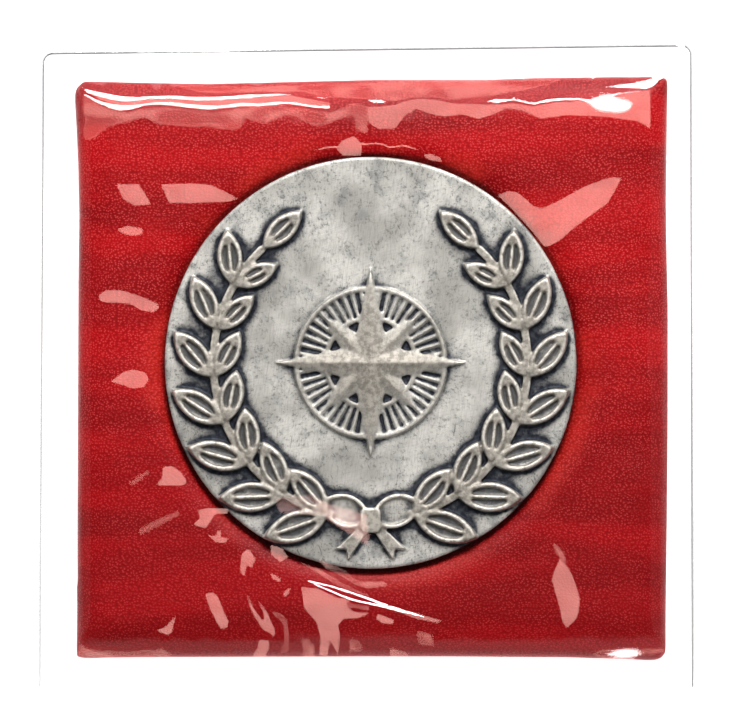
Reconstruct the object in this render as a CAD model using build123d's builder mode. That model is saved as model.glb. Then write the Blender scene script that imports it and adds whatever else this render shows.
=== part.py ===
from build123d import *

import math
import os

os.makedirs("parts", exist_ok=True)

# A silvered commemorative medal lying in a padded card, both inside a clear sleeve.
# Millimetres. The set lies flat with the medal's face up: +X is to the right of the
# medal, +Y is its top, and the origin is on the ground under the middle of the sleeve.

# Medal: a struck disc with a plain edge and a raised design on its face
medal_diameter = 70.0
medal_thickness = 3.6
medal_edge_bevel = 0.25
relief_root = 0.3

# Wreath: two laurel branches that run up from the bottom and leave the top open
stem_radius = 26.7
stem_width = 1.3
stem_height = 0.8
stem_start = -75.0
stem_end = 46.0
leaf_pairs = 7
leaf_length = 12.2
leaf_width = 5.5
leaf_height = 1.1
leaf_spread = 34.0
leaf_rim = 0.6
leaf_midrib = 0.6
leaf_hollow = 0.7
leaf_slope = 0.3
smallest_leaf_share = 0.8
inner_leaf_share = 0.88

# Bow: a ribbon tied where the two branches meet
bow_loop_length = 9.0
bow_loop_width = 5.6
bow_loop_rise = 20.0
bow_rim = 0.6
bow_hollow = 0.6
bow_height = 1.0
tail_length = 7.6
tail_width = 2.8
tail_root_width = 1.2
tail_drop = 50.0
tail_notch = 1.2
tail_height = 0.7
knot_width = 3.4
knot_length = 4.2
knot_height = 1.25
knot_corner = 0.9

# Star: eight faceted points over a ring of fine rays
star_tip = 16.0
star_short_tip = 11.2
star_valley = 4.0
star_edge = 0.55
star_height = 1.3
star_short_edge = 0.45
star_short_height = 1.1
ray_count = 48
ray_inner = 7.6
ray_outer = 12.6
ray_width = 0.5
ray_height = 0.4
ring_width = 0.7
ring_height = 0.5

# Pad: a padded card covered in leatherette, with a round pocket for the medal
pad_width = 100.0
pad_length = 98.0
pad_thickness = 5.7
pad_right = 0.9
pad_down = 0.9
pad_corner = 1.4
pad_side_hollow = 0.4
pocket_depth = 2.9
pocket_clearance = 0.35
pocket_lip = 5.0
pocket_dip = 0.8
pocket_lip_bulge = 0.25

# Sleeve: two clear films welded along the left, the top and the right, open at the bottom
film = 0.3
sleeve_width = 112.0
sleeve_length = 109.0
weld_margin = 1.0
cut_corner = 2.4
weld_corner = 1.5
mouth_gap = 0.7

# Gap that each piece keeps from its neighbour, and where the medal lies
clearance = 0.15
medal_right = 0.7
medal_up = 0.2

# The pad's plan is a rectangle of leatherette folded round a card, so its corners stray a
# little. across and along are shares of its width and length, from its middle.
pad_corners = (
    # corner, across, along, rounding as a share of pad_corner
    ("lower left", -0.505, -0.500, 0.5),
    ("lower right", 0.498, -0.502, 1.4),
    ("upper right", 0.501, 0.502, 0.6),
    ("upper left", -0.500, 0.494, 2.0),
)

# Sections of the pad from its underside up. inset and height are shares of its thickness.
pad_sections = (
    # section, inset, height
    ("sole", 0.16, 0.00),
    ("welt", 0.02, 0.16),
    ("belly", 0.00, 0.50),
    ("shoulder", 0.09, 0.73),
    ("brow", 0.26, 0.88),
    ("crest", 0.52, 0.96),
    ("top", 0.90, 1.00),
)

# Sections of the front film where it lies over the pad, from the pad's side to its top.
# overhang and height are shares of the pad's thickness.
film_over_pad = (
    # section, overhang, height
    ("side", 0.10, 0.76),
    ("bend", -0.24, 0.96),
    ("top", -0.80, 1.00),
)

# Sections of the front film where the medal lifts it. reach is a share of the medal's
# radius, and rise is a share of the height from the medal's field to the relief's top.
film_over_medal = (
    # section, reach, rise
    ("edge", 1.035, 0.0),
    ("crown", 0.965, 1.0),
)
film_crown_corner = 0.85

# Heights, worked out from the ground up
pad_bottom = film + clearance
pad_top = pad_bottom + pad_thickness
pocket_floor = pad_top - pocket_depth
medal_bottom = pocket_floor + clearance
field_level = medal_bottom + medal_thickness
relief_rise = max(leaf_height, bow_height, knot_height, star_height)
medal_radius = medal_diameter / 2
pocket_radius = medal_radius + pocket_clearance


def pointed_oval(length, width, start=0.0):
    """A leaf's outline: two arcs that meet in a point at the root and at the tip, along +X."""
    with BuildSketch() as oval:
        with BuildLine():
            ThreePointArc((start, 0), (start + length / 2, width / 2), (start + length, 0))
            ThreePointArc((start + length, 0), (start + length / 2, -width / 2), (start, 0))
        make_face()
    return oval.sketch


def hollow_leaf(length, width):
    """A laurel leaf in relief, root at the origin: a rim and a midrib round two hollow halves."""
    side_shrink = leaf_slope * length / width
    top_length = length - 2 * side_shrink
    top_width = width - 2 * leaf_slope
    rim_shrink = leaf_rim * length / width
    hollow_length = top_length - 2 * rim_shrink
    with BuildPart() as leaf:
        with BuildSketch(Plane.XY.offset(-relief_root)):
            add(pointed_oval(length, width))
        with BuildSketch(Plane.XY.offset(leaf_height)):
            add(pointed_oval(top_length, top_width, side_shrink))
        loft(ruled=True)
        with BuildSketch(Plane.XY.offset(leaf_height)):
            add(pointed_oval(hollow_length, top_width - 2 * leaf_rim, side_shrink + rim_shrink))
            with Locations((length / 2, 0)):
                Rectangle(length, leaf_midrib, mode=Mode.SUBTRACT)
        extrude(amount=-leaf_hollow, mode=Mode.SUBTRACT)
    return leaf.part


def stem_place(angle, turn):
    """A place on the right branch's stem, turned from the way that the stem runs there."""
    x = stem_radius * math.cos(math.radians(angle))
    y = stem_radius * math.sin(math.radians(angle))
    return Location((x, y, 0), (0, 0, angle + 90 + turn))


def laurel_branch():
    """The right branch about the medal's middle: a stem, pairs of leaves and a last leaf at its end."""
    step = (stem_end - stem_start) / leaf_pairs
    leaves = []
    for pair in range(leaf_pairs):
        size = 1 - (1 - smallest_leaf_share) * pair / leaf_pairs
        for turn, share in ((-leaf_spread, 1.0), (leaf_spread, inner_leaf_share)):
            leaf = hollow_leaf(leaf_length * size * share, leaf_width * size * share)
            leaves.append(stem_place(stem_start + step * pair, turn) * leaf)
    last_leaf = hollow_leaf(leaf_length * smallest_leaf_share, leaf_width * smallest_leaf_share)
    leaves.append(stem_place(stem_end, 0) * last_leaf)
    stem_line = CenterArc((0, 0), stem_radius, stem_start, stem_end - stem_start)
    with BuildPart() as branch:
        with BuildSketch(Plane.XY.offset(-relief_root)):
            SlotArc(stem_line, stem_width)
        extrude(amount=relief_root + stem_height)
        add(leaves)
    return branch.part


def half_bow():
    """The bow's right half about its knot: a hollow loop that rises and a notched tail that drops."""
    rim_shrink = bow_rim * bow_loop_length / bow_loop_width
    hollow_length = bow_loop_length - 2 * rim_shrink
    with BuildPart() as half:
        with BuildSketch(Plane.XY.offset(-relief_root).rotated((0, 0, bow_loop_rise))):
            add(pointed_oval(bow_loop_length, bow_loop_width))
        extrude(amount=relief_root + bow_height)
        with BuildSketch(Plane.XY.offset(bow_height).rotated((0, 0, bow_loop_rise))):
            add(pointed_oval(hollow_length, bow_loop_width - 2 * bow_rim, rim_shrink))
        extrude(amount=-bow_hollow, mode=Mode.SUBTRACT)
        with BuildSketch(Plane.XY.offset(-relief_root).rotated((0, 0, -tail_drop))):
            with BuildLine():
                Polyline(
                    (0, -tail_root_width / 2),
                    (tail_length, -tail_width / 2),
                    (tail_length - tail_notch, 0),
                    (tail_length, tail_width / 2),
                    (0, tail_root_width / 2),
                    close=True,
                )
            make_face()
        extrude(amount=relief_root + tail_height)
    return half.part


def knot():
    """The bow's knot: a small rounded block over the roots of the loops and the tails."""
    with BuildPart() as block:
        with BuildSketch(Plane.XY.offset(-relief_root)):
            RectangleRounded(knot_width, knot_length, knot_corner)
        extrude(amount=relief_root + knot_height)
    return block.part


def four_points(tip, edge, peak):
    """Four faceted points about the medal's middle, which rise from their edge to one peak."""
    outline = []
    for quarter in range(4):
        ahead = math.radians(90 * quarter)
        between = ahead + math.radians(45)
        outline.append((tip * math.cos(ahead), tip * math.sin(ahead)))
        outline.append((star_valley * math.cos(between), star_valley * math.sin(between)))
    with BuildPart() as points:
        with BuildSketch(Plane.XY.offset(edge)) as plan:
            with BuildLine():
                Polyline(*outline, close=True)
            make_face()
        extrude(amount=-edge - relief_root)
        loft(sections=[plan.sketch, Vertex(0, 0, peak)], ruled=True)
    return points.part


def ray_ring():
    """The star's ground: a ring of fine rays between two fine circles."""
    with BuildPart() as rays:
        with BuildSketch(Plane.XY.offset(-relief_root)):
            with PolarLocations((ray_inner + ray_outer) / 2, ray_count):
                Rectangle(ray_outer - ray_inner, ray_width)
        extrude(amount=relief_root + ray_height)
        with BuildSketch(Plane.XY.offset(-relief_root)):
            for circle in (ray_outer, ray_inner):
                Circle(circle + ring_width / 2)
                Circle(circle - ring_width / 2, mode=Mode.SUBTRACT)
        extrude(amount=relief_root + ring_height)
    return rays.part


def pad_plan(inset):
    """The pad's outline, drawn in by inset: slightly hollow sides between rounded corners."""
    points = []
    for corner, across, along, rounding in pad_corners:
        x = across * pad_width - math.copysign(inset, across)
        y = along * pad_length - math.copysign(inset, along)
        points.append((x, y))
    with BuildSketch() as plan:
        with BuildLine():
            for here, there in zip(points, points[1:] + points[:1]):
                SagittaArc(here, there, pad_side_hollow)
        make_face()
        for point, (corner, across, along, rounding) in zip(points, pad_corners):
            nearest = plan.vertices().sort_by_distance((point[0], point[1], 0))[0]
            fillet(nearest, radius=pad_corner * rounding + inset / 2)
    return plan.sketch


def film_sections(thickness):
    """Centre, width, length, corner and height of each section of the front film's underside.

    With the film's own thickness added, they are the sections of its upper side.
    """
    spread = thickness / 2
    pad_middle = (pad_right, -pad_down)
    rows = []
    for section, overhang, height in film_over_pad:
        past = overhang * pad_thickness + spread
        level = pad_bottom + height * pad_thickness + clearance + thickness
        corner = pad_corner + max(0.0, -past) / 2
        rows.append((pad_middle, pad_width + 2 * past, pad_length + 2 * past, corner, level))
    for section, reach, rise in film_over_medal:
        side = 2 * (reach * medal_radius + spread)
        level = field_level + rise * relief_rise + clearance + thickness
        rows.append(((medal_right, medal_up), side, side, film_crown_corner * side / 2, level))
    side_length = rows[0][2]
    side_level = rows[0][4]
    mouth_share = mouth_gap / (side_level - film - thickness)
    side_edge = -pad_down - side_length / 2
    low_edge = (-sleeve_length / 2 - mouth_share * side_edge) / (1 - mouth_share)
    high_edge = sleeve_length / 2 - weld_margin + spread
    weld_width = sleeve_width - 2 * weld_margin + 2 * spread
    weld_middle = (0, (low_edge + high_edge) / 2)
    rows.insert(0, (weld_middle, weld_width, high_edge - low_edge, weld_corner, film + thickness))
    return rows


laurel = laurel_branch()
bow_half = half_bow()
relief = [
    laurel,
    mirror(laurel, about=Plane.YZ),
    Pos(0, -stem_radius, 0) * bow_half,
    Pos(0, -stem_radius, 0) * mirror(bow_half, about=Plane.YZ),
    Pos(0, -stem_radius, 0) * knot(),
    ray_ring(),
    Rot(0, 0, 45) * four_points(star_short_tip, star_short_edge, star_short_height),
    four_points(star_tip, star_edge, star_height),
]

with BuildPart() as medal:
    with BuildSketch(Plane((medal_right, medal_up, medal_bottom))):
        Circle(medal_radius)
    extrude(amount=medal_thickness)
    chamfer(medal.edges().filter_by(GeomType.CIRCLE), length=medal_edge_bevel)
    with Locations((medal_right, medal_up, field_level)):
        add(relief)

with BuildPart() as pad:
    for section, inset, height in pad_sections:
        with BuildSketch(Plane((pad_right, -pad_down, pad_bottom + height * pad_thickness))):
            add(pad_plan(inset * pad_thickness))
    loft(ruled=True)
    with BuildSketch(Plane((medal_right, medal_up, 0), x_dir=(1, 0, 0), z_dir=(0, -1, 0))):
        with BuildLine():
            Polyline(
                (pocket_radius + pocket_lip, pad_top),
                (pocket_radius + pocket_lip, pad_top + pocket_depth),
                (0, pad_top + pocket_depth),
                (0, pocket_floor),
                (pocket_radius, pocket_floor),
                (pocket_radius, pad_top - pocket_dip),
            )
            SagittaArc(
                (pocket_radius, pad_top - pocket_dip),
                (pocket_radius + pocket_lip, pad_top),
                pocket_lip_bulge,
            )
        make_face()
    revolve(axis=Axis((medal_right, medal_up, 0), (0, 0, 1)), mode=Mode.SUBTRACT)

with BuildPart() as sleeve:
    with BuildSketch() as cut_plan:
        Rectangle(sleeve_width, sleeve_length)
        fillet(cut_plan.vertices().group_by(Axis.Y)[-1], radius=cut_corner)
    extrude(amount=2 * film)
    for thickness, action in ((film, Mode.ADD), (0.0, Mode.SUBTRACT)):
        for middle, width, length, corner, level in film_sections(thickness):
            with BuildSketch(Plane((middle[0], middle[1], level))):
                RectangleRounded(width, length, corner)
        loft(ruled=True, mode=action)
    split(bisect_by=Plane.XZ.offset(sleeve_length / 2), keep=Keep.BOTTOM)

medal.part.label = "medal"
pad.part.label = "pad"
sleeve.part.label = "sleeve"
export_step(medal.part, "parts/medal.step")
export_step(pad.part, "parts/pad.step")
export_step(sleeve.part, "parts/sleeve.step")
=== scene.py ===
# %% [markdown]
# A commemorative medal lies in the pocket of a red padded card, and a clear soft sleeve
# holds both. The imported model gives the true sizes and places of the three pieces. This
# file gives them their looks: struck and darkened silver, grained leatherette over a soft
# card, and a thin clear film with the light of a studio playing on its waves.

# %% Load the frame
import math

import bpy
import numpy as np
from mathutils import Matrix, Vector


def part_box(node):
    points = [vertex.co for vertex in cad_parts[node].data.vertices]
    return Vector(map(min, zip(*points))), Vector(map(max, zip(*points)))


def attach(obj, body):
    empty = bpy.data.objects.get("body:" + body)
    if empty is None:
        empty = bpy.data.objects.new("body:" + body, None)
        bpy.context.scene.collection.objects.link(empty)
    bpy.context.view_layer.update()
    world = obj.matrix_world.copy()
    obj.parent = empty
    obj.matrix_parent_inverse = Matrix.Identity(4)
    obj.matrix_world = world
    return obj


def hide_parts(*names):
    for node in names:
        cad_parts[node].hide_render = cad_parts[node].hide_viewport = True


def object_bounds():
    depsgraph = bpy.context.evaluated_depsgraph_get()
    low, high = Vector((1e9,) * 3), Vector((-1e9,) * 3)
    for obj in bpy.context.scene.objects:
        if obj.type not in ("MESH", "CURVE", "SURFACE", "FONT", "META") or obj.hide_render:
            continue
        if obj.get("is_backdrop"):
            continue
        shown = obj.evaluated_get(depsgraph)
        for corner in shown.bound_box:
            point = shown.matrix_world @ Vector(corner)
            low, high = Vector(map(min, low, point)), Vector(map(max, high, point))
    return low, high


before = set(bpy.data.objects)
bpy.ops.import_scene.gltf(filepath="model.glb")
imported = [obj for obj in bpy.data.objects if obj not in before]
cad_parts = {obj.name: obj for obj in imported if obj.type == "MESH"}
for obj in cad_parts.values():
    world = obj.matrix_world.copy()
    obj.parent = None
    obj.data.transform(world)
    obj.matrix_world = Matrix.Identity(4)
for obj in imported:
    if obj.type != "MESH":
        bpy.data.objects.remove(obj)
cad_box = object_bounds()
MM = 0.001

medal_low, medal_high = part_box("medal")
pad_low, pad_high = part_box("pad")
sleeve_low, sleeve_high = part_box("sleeve")
medal_middle = (medal_low + medal_high) / 2
pad_middle = (pad_low + pad_high) / 2
medal_place = (medal_middle.x / MM, medal_middle.y / MM)
pad_place = (pad_middle.x / MM, pad_middle.y / MM)
medal_floor = medal_low.z / MM
print("medal across", round((medal_high.x - medal_low.x) / MM, 2), "mm")
print("sleeve", [round(side / MM, 1) for side in sleeve_high - sleeve_low], "mm")

# %% [markdown]
# The photograph looks straight down. Its scale is known from the medal, so the camera
# stands three metres above it, and its lens is worked out from the width that the picture
# covers. The middle of the picture isn't quite the middle of the sleeve.

# %% Camera
PICTURE_WIDTH = 750
PIXELS_PER_MM = 5.894
SLEEVE_MIDDLE_IN_PICTURE = (366.5, 364.0)
PICTURE_MIDDLE = (375.0, 360.0)
CAMERA_HEIGHT = 3.0
SENSOR_WIDTH = 36.0

camera_x = (PICTURE_MIDDLE[0] - SLEEVE_MIDDLE_IN_PICTURE[0]) / PIXELS_PER_MM * MM
camera_y = (SLEEVE_MIDDLE_IN_PICTURE[1] - PICTURE_MIDDLE[1]) / PIXELS_PER_MM * MM
seen_width = PICTURE_WIDTH / PIXELS_PER_MM * MM
camera_data = bpy.data.cameras.new("camera")
camera_data.sensor_width = SENSOR_WIDTH
camera_data.lens = SENSOR_WIDTH * CAMERA_HEIGHT / seen_width
camera_data.clip_end = 20.0
camera = bpy.data.objects.new("camera", camera_data)
camera.location = (camera_x, camera_y, medal_high.z + CAMERA_HEIGHT)
bpy.context.scene.collection.objects.link(camera)
bpy.context.scene.camera = camera
print("lens", round(camera_data.lens, 1), "mm")


def photo_point(column, row):
    """A point of the picture as x and y in millimetres on the object."""
    x = (column - SLEEVE_MIDDLE_IN_PICTURE[0]) / PIXELS_PER_MM
    y = (SLEEVE_MIDDLE_IN_PICTURE[1] - row) / PIXELS_PER_MM
    return x, y


# %% [markdown]
# A finish is a small network of nodes. To write one as a formula, a wire stands for a
# socket and knows how to add, subtract, multiply, divide, take a power and step smoothly
# from 0 to 1. Every other node comes from one method that takes its type, its settings and
# what its sockets get.

# %% A small language for finishes


class Wire:
    """A node's output that can be used in arithmetic."""

    def __init__(self, finish, socket):
        self.finish = finish
        self.socket = socket

    def maths(self, operation, *others, clamp=False):
        """A Math node with this wire first; clamp keeps its answer between 0 and 1."""
        settings = {"operation": operation, "use_clamp": clamp}
        sockets = {place: value for place, value in enumerate((self,) + others)}
        return self.finish.node("ShaderNodeMath", settings, sockets)

    def __add__(self, other):
        return self.maths("ADD", other)

    def __mul__(self, other):
        return self.maths("MULTIPLY", other)

    def __sub__(self, other):
        return self.maths("SUBTRACT", other)

    def __truediv__(self, other):
        return self.maths("DIVIDE", other)

    def __pow__(self, other):
        return self.maths("POWER", other)

    def __rsub__(self, other):
        settings = {"operation": "SUBTRACT"}
        return self.finish.node("ShaderNodeMath", settings, {0: other, 1: self})

    __radd__ = __add__
    __rmul__ = __mul__

    def clamped(self):
        return self.maths("ADD", 0.0, clamp=True)

    def step(self, low, high):
        """0 below low, 1 above high, and smooth between."""
        settings = {"interpolation_type": "SMOOTHSTEP"}
        return self.finish.node("ShaderNodeMapRange", settings, {0: self, 1: low, 2: high})


class Finish:
    """A material, made node by node."""

    def __init__(self, name):
        self.material = bpy.data.materials.new(name)
        self.material.use_nodes = True
        self.nodes = self.material.node_tree.nodes
        self.links = self.material.node_tree.links
        self.nodes.clear()

    def node(self, kind, settings=None, sockets=None, output=0):
        """Adds a node, sets it, then fills or links its sockets, and gives one output."""
        made = self.nodes.new(kind)
        for name, value in (settings or {}).items():
            setattr(made, name, value)
        for name, value in (sockets or {}).items():
            if isinstance(value, Wire):
                self.links.new(value.socket, made.inputs[name])
            else:
                made.inputs[name].default_value = value
        return Wire(self, made.outputs[output]) if len(made.outputs) else None

    def kept(self, name, output="Fac"):
        """A number, or with output Vector a direction, that the piece's points carry."""
        return self.node("ShaderNodeAttribute", {"attribute_name": name}, output=output)

    def vectors(self, operation, first, second=(0, 0, 0), output="Vector"):
        """Arithmetic on vectors; output is Value where the answer is a number."""
        place = "Scale" if operation == "SCALE" else 1
        return self.node("ShaderNodeVectorMath", {"operation": operation}, {0: first, place: second}, output)

    def place(self, longer=(1, 1, 1), turn=0.0):
        """Object coordinates in metres, for a pattern turned about Z and made longer along its axes."""
        here = self.node("ShaderNodeTexCoord", output="Object")
        if longer == (1, 1, 1) and turn == 0.0:
            return here
        sockets = {"Vector": here, "Scale": longer, "Rotation": (0, 0, turn)}
        return self.node("ShaderNodeMapping", {"vector_type": "TEXTURE"}, sockets)

    def from_above(self):
        """Object coordinates with the height left out."""
        return self.vectors("MULTIPLY", self.place(), (1, 1, 0))

    def noise(self, size_mm, detail, rough, where=None):
        """Cloudy noise from 0 to 1 whose lumps are about size_mm across."""
        sockets = {
            "Vector": where if where is not None else self.place(),
            "Scale": 1000.0 / size_mm,
            "Detail": detail,
            "Roughness": rough,
        }
        return self.node("ShaderNodeTexNoise", {}, sockets)

    def blend(self, factor, first, second):
        """A colour between two colours."""
        return self.node("ShaderNodeMix", {"data_type": "RGBA"}, {0: factor, 6: first, 7: second}, output=2)

    def coats(self, tone, *coats):
        """A colour with further colours laid over it in turn, each by its own share."""
        for share, over in coats:
            tone = self.blend(share, tone, over)
        return tone

    def bump(self, height, distance_mm):
        """A normal tilted by heights, as if they were cut into the surface."""
        sockets = {"Height": height, "Distance": distance_mm * MM, "Strength": 1.0}
        return self.node("ShaderNodeBump", {}, sockets)

    def surface(self, sockets):
        """The main shader, as the material's surface."""
        self.finish_with(self.node("ShaderNodeBsdfPrincipled", {}, sockets))

    def finish_with(self, shader):
        self.node("ShaderNodeOutputMaterial", {}, {"Surface": shader})


def colour(red, green, blue):
    """A linear colour from the 0 to 255 values seen in a picture."""
    linear = []
    for value in (red, green, blue):
        share = value / 255
        linear.append(share / 12.92 if share <= 0.04045 else ((share + 0.055) / 1.055) ** 2.4)
    return (*linear, 1.0)


# %% [markdown]
# The set lies on a plain white table that glows a little, so that it stays white under the
# card as it does in a light tent. One bright soft box behind the top edge does most of the
# work. It stands close, so its light falls off towards the lower edge. A small pink panel
# near the camera is there for the film, which mirrors it wherever a wave tilts just enough.
# The room is dark straight above, as a camera and its operator are, so the flat film doesn't
# veil the red, and it is brightest behind the top edge.

# %% Table and light
TABLE_SIDE = 6.0
TABLE_GAP = 0.05
TABLE_WHITE = 0.94
bpy.ops.object.select_all(action="DESELECT")
bpy.ops.mesh.primitive_plane_add(size=TABLE_SIDE, location=(0, 0, -TABLE_GAP * MM))
table = bpy.context.object
table.name = "table"
table_finish = Finish("white_table")
table_finish.surface({
    "Base Color": (TABLE_WHITE, TABLE_WHITE, TABLE_WHITE, 1),
    "Roughness": 0.9,
    "Specular IOR Level": 0.1,
    "Emission Color": (1, 1, 1, 1),
    "Emission Strength": 1.0,
})
table.data.materials.append(table_finish.material)
table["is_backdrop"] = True


def soft_light(name, zenith, azimuth, distance, width, height, brightness):
    """An area light that faces the medal from a direction given in degrees."""
    data = bpy.data.lights.new(name, "AREA")
    data.shape = "RECTANGLE"
    data.size = width
    data.size_y = height
    data.energy = brightness * math.pi * width * height
    lamp = bpy.data.objects.new(name, data)
    tilt = math.radians(zenith)
    turn = math.radians(azimuth)
    lamp.location = (
        distance * math.sin(tilt) * math.cos(turn),
        distance * math.sin(tilt) * math.sin(turn),
        distance * math.cos(tilt),
    )
    lamp.rotation_euler = Vector(lamp.location).to_track_quat("Z", "Y").to_euler()
    lamp.visible_camera = False
    bpy.context.scene.collection.objects.link(lamp)
    return lamp


# Zenith and azimuth in degrees, distance, width and height in metres, brightness
key = soft_light("key", 40, 82, 0.75, 0.32, 0.20, 33)
soft_light("back_strip", 68, 90, 1.3, 1.4, 0.3, 2.5)
panel = soft_light("panel", 11, 90, 1.12, 0.07, 0.05, 6.3)
panel.data.color = (1.0, 0.55, 0.48)

world = bpy.data.worlds.new("studio")
world.use_nodes = True
bpy.context.scene.world = world
sky = world.node_tree
sky.nodes.clear()


def room_node(kind, sockets, output=0, **settings):
    """A node of the room's light."""
    made = sky.nodes.new(kind)
    for name, value in settings.items():
        setattr(made, name, value)
    for name, value in sockets.items():
        if isinstance(value, bpy.types.NodeSocket):
            sky.links.new(value, made.inputs[name])
        else:
            made.inputs[name].default_value = value
    return made.outputs[output] if len(made.outputs) else None


def room_ramp(value, start, end, low, high):
    """Goes smoothly from one level to another while a direction's part goes from start to end."""
    sockets = {0: value, 1: start, 2: end, 3: low, 4: high}
    return room_node("ShaderNodeMapRange", sockets, interpolation_type="SMOOTHSTEP")


# The room's levels: a dark front, a bright back, and nearly black straight above
direction = room_node("ShaderNodeTexCoord", {}, output="Generated")
parts = room_node("ShaderNodeSeparateXYZ", {0: direction}).node.outputs
behind = room_ramp(parts["Y"], 0.22, 0.5, 0.10, 1.25)
in_front = room_ramp(parts["Y"], -0.10, -0.62, 0.0, 0.24)
level = room_node("ShaderNodeMath", {0: behind, 1: in_front}, operation="ADD")
not_above = room_ramp(parts["Z"], 0.90, 0.80, 0.06, 1.0)
level = room_node("ShaderNodeMath", {0: level, 1: not_above}, operation="MULTIPLY")
seen_directly = room_node("ShaderNodeLightPath", {}, output="Is Camera Ray")
level = room_node("ShaderNodeMix", {0: seen_directly, 2: level, 3: 0.9})
glow = room_node("ShaderNodeBackground", {0: (1, 1, 1, 1), 1: level})
room_node("ShaderNodeOutputWorld", {0: glow})
bpy.context.scene.view_settings.view_transform = "Standard"
bpy.context.scene.cycles.max_bounces = 4
bpy.context.scene.cycles.diffuse_bounces = 2
bpy.context.scene.cycles.glossy_bounces = 3
bpy.context.scene.cycles.caustics_reflective = False
bpy.context.scene.cycles.caustics_refractive = False

# %% [markdown]
# The shapes that a photograph shows as soft, such as worn relief, swollen padding and the
# waves of a film, are easiest to reach as heights over a plan. A few small helpers do this:
# they smooth a grid of numbers, read it between its cells, make gentle random waves, and
# measure how far a point is from a line or from a rectangle with round corners. Others copy
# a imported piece, apply a modifier to it, and read or store what its points carry.

# %% Helpers for heights over a plan


def blurred(field, across, along=None):
    """A grid whose values are shared out over their neighbours: across and along in cells."""
    for axis, reach_cells in ((1, across), (0, across if along is None else along)):
        reach = int(3 * reach_cells) + 1
        steps = np.arange(-reach, reach + 1)
        weights = np.exp(-(steps**2) / (2 * reach_cells**2))
        weights /= weights.sum()
        border = [(0, 0), (0, 0)]
        border[axis] = (reach, reach)
        wide = np.pad(field, border, mode="edge")
        count = field.shape[axis]
        field = sum(
            weight * np.take(wide, np.arange(start, start + count), axis)
            for start, weight in enumerate(weights)
        )
    return field


class Plan:
    """A square grid of numbers over the object, seen from above, in millimetres."""

    def __init__(self, cell, half_side=58.0):
        self.cell = cell
        self.low = -half_side
        self.count = int(2 * half_side / cell) + 1

    def axes(self):
        line = self.low + self.cell * np.arange(self.count)
        return np.meshgrid(line, line)

    def places(self, x, y):
        return (x - self.low) / self.cell, (y - self.low) / self.cell

    def read(self, field, x, y):
        """The field at any points, worked out between the four nearest cells."""
        column, row = self.places(x, y)
        left = np.clip(column.astype(int), 0, self.count - 2)
        below = np.clip(row.astype(int), 0, self.count - 2)
        u = np.clip(column - left, 0, 1)
        v = np.clip(row - below, 0, 1)
        low = field[below, left] * (1 - u) + field[below, left + 1] * u
        high = field[below + 1, left] * (1 - u) + field[below + 1, left + 1] * u
        return low * (1 - v) + high * v

    def tops(self, x, y, z):
        """The highest of the given points in each cell; empty cells take a neighbour's."""
        column, row = self.places(x, y)
        field = np.full((self.count, self.count), -np.inf)
        np.maximum.at(field, (np.round(row).astype(int), np.round(column).astype(int)), z)
        for _ in range(4):
            spread = field.copy()
            for axis in (0, 1):
                for shift in (-1, 1):
                    spread = np.maximum(spread, np.roll(field, shift, axis))
            field = np.where(np.isinf(field), spread, field)
        return field

    def waves(self, across, along, seed):
        """Smooth random waves about so many millimetres across and along, from -1 to 1 or so."""
        rough = np.random.default_rng(seed).standard_normal((self.count, self.count))
        smooth = blurred(rough, across / self.cell / 2.5, along / self.cell / 2.5)
        return smooth / smooth.std() / 2


def past_rectangle(x, y, middle, width, length, corner):
    """How far points lie outside a rectangle with round corners; negative inside."""
    beyond_x = np.abs(x - middle[0]) - width / 2 + corner
    beyond_y = np.abs(y - middle[1]) - length / 2 + corner
    outside = np.hypot(np.maximum(beyond_x, 0), np.maximum(beyond_y, 0))
    return outside + np.minimum(np.maximum(beyond_x, beyond_y), 0) - corner


def near_segment(x, y, start, end):
    """How far along a straight stretch points are nearest to it, 0 to 1, and how far away they are."""
    run_x = end[0] - start[0]
    run_y = end[1] - start[1]
    share = ((x - start[0]) * run_x + (y - start[1]) * run_y) / (run_x**2 + run_y**2)
    share = np.clip(share, 0, 1)
    return share, np.hypot(x - start[0] - share * run_x, y - start[1] - share * run_y)


def eased(share):
    """0 to 1 with a soft start and a soft end."""
    share = np.clip(share, 0, 1)
    return share * share * (3 - 2 * share)


def read_vertices(piece, what):
    """Three numbers for each vertex as a table: its place for co, the way it faces for normal."""
    table = np.empty(len(piece.data.vertices) * 3, np.float32)
    piece.data.vertices.foreach_get(what, table)
    return table.reshape(-1, 3)


def points_of(piece):
    """A piece's vertices as a table in millimetres."""
    return read_vertices(piece, "co").astype(float) / MM


def move_points(piece, table):
    """Puts a piece's vertices where a table in millimetres says."""
    piece.data.vertices.foreach_set("co", (table * MM).astype(np.float32).ravel())
    piece.data.update()


def keep_number(piece, name, values):
    """Stores one number for each vertex, for a material to read."""
    layer = piece.data.attributes.new(name, "FLOAT", "POINT")
    layer.data.foreach_set("value", np.asarray(values, np.float32))


def choose(piece):
    """Makes a piece the only one selected, so that operators act on it alone."""
    if bpy.context.object and bpy.context.object.mode != "OBJECT":
        bpy.ops.object.mode_set(mode="OBJECT")
    bpy.ops.object.select_all(action="DESELECT")
    piece.select_set(True)
    bpy.context.view_layer.objects.active = piece


def shape_with(piece, kind, **settings):
    """Adds a modifier, sets it and applies it."""
    choose(piece)
    modifier = piece.modifiers.new(kind.lower(), kind)
    for name, value in settings.items():
        setattr(modifier, name, value)
    bpy.ops.object.modifier_apply(modifier=modifier.name)


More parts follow.
